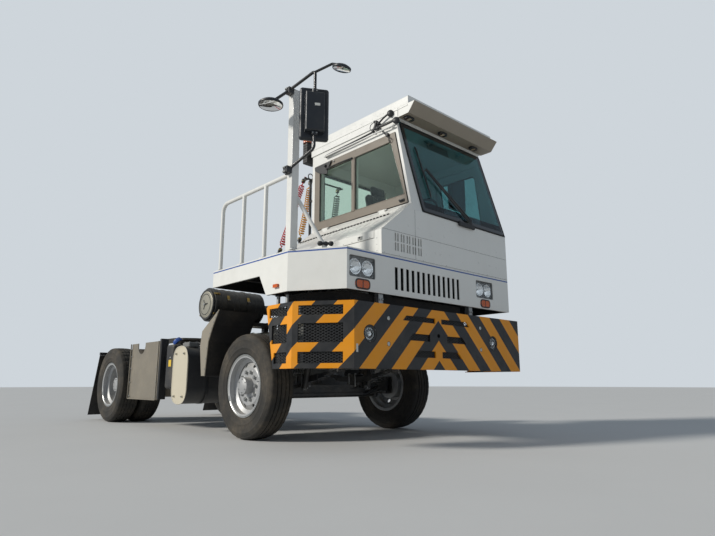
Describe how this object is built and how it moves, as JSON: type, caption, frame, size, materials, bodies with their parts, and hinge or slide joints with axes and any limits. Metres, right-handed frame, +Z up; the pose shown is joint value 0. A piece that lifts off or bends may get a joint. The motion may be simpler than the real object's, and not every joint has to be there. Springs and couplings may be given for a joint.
{
  "type": "terminal tractor",
  "caption": "Two-axle terminal tractor with offset cab, striped bumper, right-hand mirror post and a lifting fifth wheel.",
  "frame": {"origin": "on the ground, midway between bumper face and tail lamps and midway between the outermost mirrors", "axes": "+X forward, +Y to the driver's left, +Z up"},
  "size_m": [5.9, 3.402, 3.527],
  "materials": {
    "white_paint": "satin white paint",
    "black_steel": "black chassis paint",
    "black_plastic": "matte",
    "grey_frame": "dark grey",
    "beige_plate": "dull",
    "chrome_rod": "polished",
    "clear_glass": "faint green",
    "lamp_glass": "clear lens",
    "amber_lens": "amber",
    "red_lens": "red",
    "tyre_rubber": "worn",
    "rim_silver": "silver paint",
    "seat_fabric": "woven",
    "red_line": "red",
    "yellow_line": "orange yellow",
    "black_line": "black"
  },
  "bodies": {
    "chassis": {"aftertreatment_box": "beige_plate", "air_filter": "black_plastic", "air_line_red": "red_line", "air_line_yellow": "yellow_line", "air_tank": "black_steel", "amber_lamps": "amber_lens", "battery_box": "black_steel", "bumper_mesh": "black_steel", "cab_glass": "clear_glass", "cab_roof": "white_paint", "cab_shell": "white_paint", "chassis_frame": "black_steel", "dashboard": "black_plastic", "drive_shaft": "black_steel", "electric_line_black": "black_line", "engine_block": "black_steel", "front_axle": "black_steel", "front_bumper": "white_paint", "front_lamps": "lamp_glass", "front_springs": "black_steel", "fuel_tank": "black_plastic", "handrail": "white_paint", "line_stand": "black_steel", "mirror_arms": "black_steel", "mirror_post": "white_paint", "mirrors": "black_plastic", "mudguards": "black_plastic", "platform": "white_paint", "rear_axle": "black_steel", "rear_deck": "black_steel", "seat_base": "black_plastic", "seat_cushions": "seat_fabric", "side_housing": "white_paint", "sun_visor": "white_paint", "tail_lamps": "red_lens", "urea_tank": "black_plastic", "window_frame": "grey_frame", "wiper": "black_plastic", "work_light": "black_plastic"},
    "knuckle_left": {"knuckle_left": "black_steel"},
    "knuckle_right": {"knuckle_right": "black_steel"},
    "tie_rod": {"tie_rod": "black_steel"},
    "front_wheel_left": {"front_tyre_left": "tyre_rubber", "front_rim_left": "rim_silver"},
    "front_wheel_right": {"front_tyre_right": "tyre_rubber", "front_rim_right": "rim_silver"},
    "rear_wheels_left": {"rear_tyres_left": "tyre_rubber", "rear_rims_left": "rim_silver"},
    "rear_wheels_right": {"rear_tyres_right": "tyre_rubber", "rear_rims_right": "rim_silver"},
    "side_cover": {"side_cover": "white_paint"},
    "cab_door": {"cab_door": "white_paint", "door_glass": "clear_glass"},
    "steering_wheel": {"steering_wheel": "black_plastic"},
    "lift_boom": {"lift_boom": "black_steel"},
    "fifth_wheel": {"fifth_wheel": "black_steel"},
    "cylinder_barrel_left": {"cylinder_barrel_left": "black_steel"},
    "cylinder_barrel_right": {"cylinder_barrel_right": "black_steel"},
    "cylinder_rod_left": {"cylinder_rod_left": "chrome_rod"},
    "cylinder_rod_right": {"cylinder_rod_right": "chrome_rod"}
  },
  "joints": [
    {"name": "steer_left", "type": "hinge", "parent": "chassis", "child": "knuckle_left", "pos_m": [1.35, 0.88, 0.525], "axis": [0, 0, 1], "range_deg": [-38, 38]},
    {"name": "steer_right", "type": "hinge", "parent": "chassis", "child": "knuckle_right", "pos_m": [1.35, -0.88, 0.525], "axis": [0, 0, 1], "range_deg": [-38, 38]},
    {"name": "tie_rod_ball", "type": "hinge", "parent": "knuckle_left", "child": "tie_rod", "pos_m": [1.18, 0.88, 0.448], "axis": [0, 0, 1], "range_deg": [-38, 38]},
    {"name": "front_spin_left", "type": "hinge", "parent": "knuckle_left", "child": "front_wheel_left", "pos_m": [1.35, 1.01, 0.525], "axis": [0, 1, 0], "continuous": true},
    {"name": "front_spin_right", "type": "hinge", "parent": "knuckle_right", "child": "front_wheel_right", "pos_m": [1.35, -1.01, 0.525], "axis": [0, 1, 0], "continuous": true},
    {"name": "rear_spin_left", "type": "hinge", "parent": "chassis", "child": "rear_wheels_left", "pos_m": [-2.14, 0.956, 0.525], "axis": [0, 1, 0], "continuous": true},
    {"name": "rear_spin_right", "type": "hinge", "parent": "chassis", "child": "rear_wheels_right", "pos_m": [-2.14, -0.956, 0.525], "axis": [0, 1, 0], "continuous": true},
    {"name": "steering_wheel_turn", "type": "hinge", "parent": "chassis", "child": "steering_wheel", "pos_m": [2.27, 0.57, 2.47], "axis": [-0.6018, 0, 0.7986], "range_deg": [-532, 532]},
    {"name": "side_cover_lid", "type": "hinge", "parent": "chassis", "child": "side_cover", "pos_m": [2.02, -0.271, 2.282], "axis": [-1, 0, 0], "range_deg": [0, 60]},
    {"name": "cab_door_slide", "type": "slide", "parent": "chassis", "child": "cab_door", "axis": [-1, 0, 0], "range_m": [0, 0.62]},
    {"name": "boom_lift", "type": "hinge", "parent": "chassis", "child": "lift_boom", "pos_m": [-0.65, 0, 0.96], "axis": [0, 1, 0], "range_deg": [0, 18]},
    {"name": "fifth_wheel_tilt", "type": "hinge", "parent": "lift_boom", "child": "fifth_wheel", "pos_m": [-1.95, 0, 1.12], "axis": [0, 1, 0], "range_deg": [-20, 12]},
    {"name": "cylinder_swing_left", "type": "hinge", "parent": "chassis", "child": "cylinder_barrel_left", "pos_m": [-0.9, 0.24, 0.64], "axis": [0, 1, 0], "range_deg": [0, 20]},
    {"name": "cylinder_stroke_left", "type": "slide", "parent": "cylinder_barrel_left", "child": "cylinder_rod_left", "axis": [-0.9472, 0, 0.3205], "range_m": [0, 0.126]},
    {"name": "cylinder_swing_right", "type": "hinge", "parent": "chassis", "child": "cylinder_barrel_right", "pos_m": [-0.9, -0.24, 0.64], "axis": [0, 1, 0], "range_deg": [0, 20]},
    {"name": "cylinder_stroke_right", "type": "slide", "parent": "cylinder_barrel_right", "child": "cylinder_rod_right", "axis": [-0.9472, 0, 0.3205], "range_m": [0, 0.126]}
  ],
  "couplings": [
    {"joint": "steer_right", "follows": "steer_left", "ratio": 1},
    {"joint": "tie_rod_ball", "follows": "steer_left", "ratio": -1},
    {"joint": "steering_wheel_turn", "follows": "steer_left", "ratio": 14},
    {"joint": "cylinder_swing_left", "follows": "boom_lift", "ratio": 1.1054},
    {"joint": "cylinder_stroke_left", "follows": "boom_lift", "m_per_rad": 0.3989},
    {"joint": "cylinder_swing_right", "follows": "boom_lift", "ratio": 1.1054},
    {"joint": "cylinder_stroke_right", "follows": "boom_lift", "m_per_rad": 0.3989}
  ]
}
